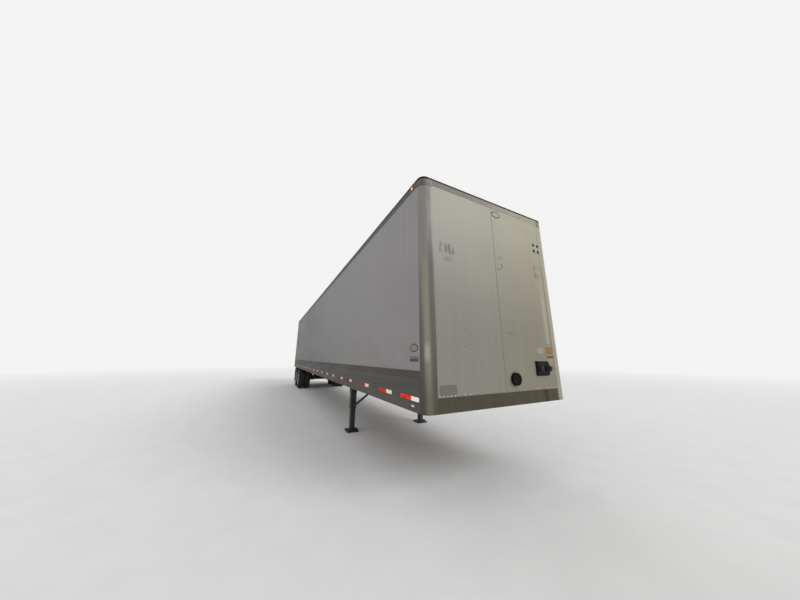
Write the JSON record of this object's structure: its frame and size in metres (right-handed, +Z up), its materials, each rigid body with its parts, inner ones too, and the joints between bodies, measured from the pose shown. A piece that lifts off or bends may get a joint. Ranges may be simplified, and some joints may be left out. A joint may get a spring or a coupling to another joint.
{
  "type": "semi trailer",
  "caption": "Dry van semi trailer with smooth plate sides, riveted nose, landing legs, swing rear doors and a sliding tandem with dual wheels.",
  "frame": {"origin": "on the ground, at the middle of the bounding box in X and Y", "axes": "+X forward to the nose, +Y to the trailer's left, +Z up"},
  "size_m": [16.239, 2.623, 4.115],
  "materials": {
    "side_skin": "smooth prefinished white, dusty",
    "front_skin": "riveted white sheet, weathered",
    "lower_rail": "dull dark grey extrusion",
    "rail_metal": "satin mill aluminium, weathered",
    "black_trim": "satin black edging",
    "roof_metal": "plain aluminium sheet",
    "galvanized": "galvanized",
    "hardwood": "worn laminated boards",
    "frame_paint": "light grey enamel on steel",
    "zinc_steel": "zinc plated",
    "machined_steel": "machined, greased",
    "chassis_paint": "black chassis paint, dusty",
    "wheel_paint": "white enamel, road film",
    "tyre_rubber": "worn rubber",
    "black_rubber": "black rubber",
    "cast_box": "cast plate with couplings",
    "black_plastic": "moulded",
    "amber_lens": "clear moulded lens",
    "red_lens": "clear moulded lens"
  },
  "bodies": {
    "trailer": {"bottom_rails": "lower_rail", "top_rails": "rail_metal", "side_panels_left": "side_skin", "side_panels_right": "side_skin", "wall_joint_strips": "galvanized", "front_posts": "rail_metal", "front_bottom_rail": "rail_metal", "front_top_rail": "rail_metal", "front_wall_left": "front_skin", "front_wall_right": "front_skin", "roof_sheet": "roof_metal", "roof_edge_trim": "black_trim", "roof_bows": "galvanized", "floor_boards": "hardwood", "crossmembers": "chassis_paint", "upper_coupler": "chassis_paint", "kingpin": "machined_steel", "rear_frame": "frame_paint", "landing_legs": "chassis_paint", "landing_feet": "chassis_paint", "landing_braces": "chassis_paint", "landing_shaft": "chassis_paint", "landing_gearbox": "chassis_paint", "landing_crank": "chassis_paint", "slide_rails": "chassis_paint", "underride_guard": "chassis_paint", "dock_bumpers": "black_rubber", "nose_box": "cast_box", "document_holder": "black_plastic", "amber_lamps": "amber_lens", "red_lamps": "red_lens"},
    "door_left": {"rear_door_left": "side_skin", "door_hinges_left": "zinc_steel", "lock_rods_left": "zinc_steel"},
    "door_right": {"rear_door_right": "side_skin", "door_hinges_right": "zinc_steel", "lock_rods_right": "zinc_steel"},
    "tandem": {"bogie_frame": "chassis_paint", "leaf_springs": "chassis_paint", "axles": "chassis_paint", "radius_rods": "chassis_paint", "brake_chambers": "chassis_paint", "air_tanks": "chassis_paint", "mud_flaps": "black_rubber"},
    "wheels_left_front": {"tyres_left_front": "tyre_rubber", "wheel_left_front": "wheel_paint"},
    "wheels_right_front": {"tyres_right_front": "tyre_rubber", "wheel_right_front": "wheel_paint"},
    "wheels_left_rear": {"tyres_left_rear": "tyre_rubber", "wheel_left_rear": "wheel_paint"},
    "wheels_right_rear": {"tyres_right_rear": "tyre_rubber", "wheel_right_rear": "wheel_paint"}
  },
  "joints": [
    {"name": "door_left_swing", "type": "hinge", "parent": "trailer", "child": "door_left", "pos_m": [-8.0805, 1.2815, 2.63], "axis": [0, 0, -1], "range_deg": [0, 260]},
    {"name": "door_right_swing", "type": "hinge", "parent": "trailer", "child": "door_right", "pos_m": [-8.0805, -1.2815, 2.63], "axis": [0, 0, 1], "range_deg": [0, 260]},
    {"name": "tandem_slide", "type": "slide", "parent": "trailer", "child": "tandem", "axis": [1, 0, 0], "range_m": [-0.6, 2.4]},
    {"name": "wheels_left_front_turn", "type": "hinge", "parent": "tandem", "child": "wheels_left_front", "pos_m": [-5.1155, 0.9905, 0.508], "axis": [0, 1, 0], "continuous": true},
    {"name": "wheels_right_front_turn", "type": "hinge", "parent": "tandem", "child": "wheels_right_front", "pos_m": [-5.1155, -0.9905, 0.508], "axis": [0, 1, 0], "continuous": true},
    {"name": "wheels_left_rear_turn", "type": "hinge", "parent": "tandem", "child": "wheels_left_rear", "pos_m": [-6.3655, 0.9905, 0.508], "axis": [0, 1, 0], "continuous": true},
    {"name": "wheels_right_rear_turn", "type": "hinge", "parent": "tandem", "child": "wheels_right_rear", "pos_m": [-6.3655, -0.9905, 0.508], "axis": [0, 1, 0], "continuous": true}
  ]
}
